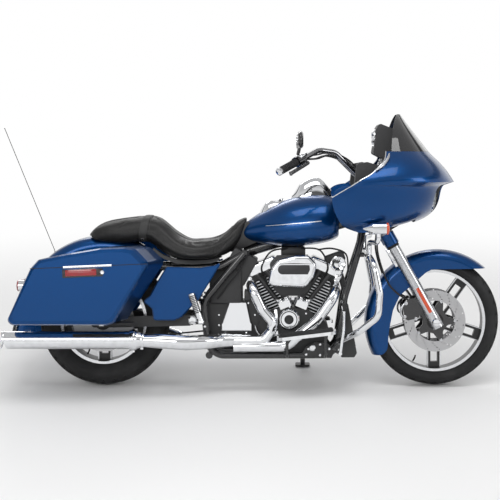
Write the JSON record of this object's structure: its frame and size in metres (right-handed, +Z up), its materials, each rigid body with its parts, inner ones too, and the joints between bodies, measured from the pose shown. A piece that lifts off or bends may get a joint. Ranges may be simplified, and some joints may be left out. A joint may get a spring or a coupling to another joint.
{
  "type": "touring cruiser motorcycle",
  "caption": "Long low touring motorcycle with a frame-mounted nose fairing, hard saddlebags, a V-twin engine and cast wheels, parked on its side stand.",
  "frame": {"origin": "on the floor, under the middle of the bounding box of the parked machine", "axes": "+X forward along the machine, +Y to its left, +Z up; the machine leans 8 degrees to the left onto its side stand"},
  "size_m": [2.4709, 1.0196, 1.3334],
  "materials": {
    "paint": "deep metallic blue under a clear coat",
    "chrome": "bright plating",
    "satin_black": "satin black coating",
    "polished_aluminium": "polished",
    "steel": "turned",
    "tyre_rubber": "matt",
    "black_rubber": "matt",
    "leather": "grained, slightly shiny",
    "black_plastic": "textured",
    "smoked_screen": "dark smoked, glossy",
    "lamp_glass": "clear lens"
  },
  "bodies": {
    "chassis": {"swingarm": "satin_black", "rear_axle": "steel", "drive_belt": "black_rubber", "rear_shocks": "satin_black", "rear_fender": "paint", "frame_tubes": "satin_black", "crankcase": "satin_black", "cylinders": "satin_black", "rocker_covers": "chrome", "pushrod_tubes": "chrome", "cam_cover": "chrome", "gearbox": "satin_black", "primary_cover": "chrome", "air_cleaner": "chrome", "cooler_cover": "satin_black", "exhaust_pipes": "chrome", "mufflers": "chrome", "fuel_tank": "paint", "tank_console": "paint", "seat": "leather", "side_covers": "paint", "saddlebag_right": "paint", "saddlebag_left": "paint", "fairing_outer": "paint", "windscreen": "smoked_screen", "headlamps": "lamp_glass", "fairing_inner": "black_plastic", "engine_guard": "chrome", "turn_signals": "chrome", "rear_lamps": "chrome", "plate_bracket": "chrome", "antenna": "black_rubber", "foot_controls": "chrome"},
    "steering": {"front_fender": "paint", "fork_legs": "polished_aluminium", "fork_covers": "paint", "triple_clamps": "satin_black", "front_callipers": "satin_black", "handlebar": "chrome", "hand_controls": "black_rubber", "mirrors": "chrome"},
    "front_wheel": {"front_tyre": "tyre_rubber", "front_rim": "polished_aluminium", "front_discs": "steel"},
    "rear_wheel": {"rear_tyre": "tyre_rubber", "rear_rim": "polished_aluminium", "rear_disc_and_pulley": "steel"},
    "side_stand_leg": {"side_stand": "satin_black"},
    "right_lid": {"bag_lid_right": "paint"},
    "left_lid": {"bag_lid_left": "paint"},
    "fuel_door_flap": {"fuel_door": "paint"},
    "right_peg": {"passenger_peg_right": "black_rubber"},
    "left_peg": {"passenger_peg_left": "black_rubber"},
    "right_board": {"footboard_right": "black_rubber"},
    "left_board": {"footboard_left": "black_rubber"}
  },
  "joints": [
    {"name": "steering", "type": "hinge", "parent": "chassis", "child": "steering", "pos_m": [0.67251, -0.00254, 0.85069], "axis": [-0.4384, 0.1251, 0.89], "range_deg": [-32, 32]},
    {"name": "front_wheel_spin", "type": "hinge", "parent": "steering", "child": "front_wheel", "pos_m": [0.91652, -0.07704, 0.32063], "axis": [0, 0.9903, -0.1392], "continuous": true},
    {"name": "rear_wheel_spin", "type": "hinge", "parent": "chassis", "child": "rear_wheel", "pos_m": [-0.70848, -0.07686, 0.32187], "axis": [0, 0.9903, -0.1392], "continuous": true},
    {"name": "side_stand_fold", "type": "hinge", "parent": "chassis", "child": "side_stand_leg", "pos_m": [0.27152, 0.08393, 0.13671], "axis": [0, 0.6646, 0.7472], "range_deg": [0, 88]},
    {"name": "right_lid_open", "type": "hinge", "parent": "chassis", "child": "right_lid", "pos_m": [-0.74348, -0.47825, 0.67047], "axis": [0.9993, 0.0054, 0.0381], "range_deg": [0, 85]},
    {"name": "left_lid_open", "type": "hinge", "parent": "chassis", "child": "left_lid", "pos_m": [-0.74348, 0.40506, 0.54632], "axis": [-0.9993, -0.0054, -0.0381], "range_deg": [0, 85]},
    {"name": "fuel_door_open", "type": "hinge", "parent": "chassis", "child": "fuel_door_flap", "pos_m": [0.22322, 0.00997, 0.93971], "axis": [0, 0.9903, -0.1392], "range_deg": [0, 100]},
    {"name": "right_peg_fold", "type": "hinge", "parent": "chassis", "child": "right_peg", "pos_m": [-0.22248, -0.31907, 0.36603], "axis": [1, 0, 0], "range_deg": [0, 90]},
    {"name": "left_peg_fold", "type": "hinge", "parent": "chassis", "child": "left_peg", "pos_m": [-0.22248, 0.16814, 0.29756], "axis": [-1, 0, 0], "range_deg": [0, 90]},
    {"name": "right_board_fold", "type": "hinge", "parent": "chassis", "child": "right_board", "pos_m": [0.28352, -0.29376, 0.30188], "axis": [-0.9928, -0.0167, -0.1185], "range_deg": [0, 50]},
    {"name": "left_board_fold", "type": "hinge", "parent": "chassis", "child": "left_board", "pos_m": [0.28352, 0.12612, 0.24287], "axis": [0.9928, 0.0167, 0.1185], "range_deg": [0, 50]}
  ]
}
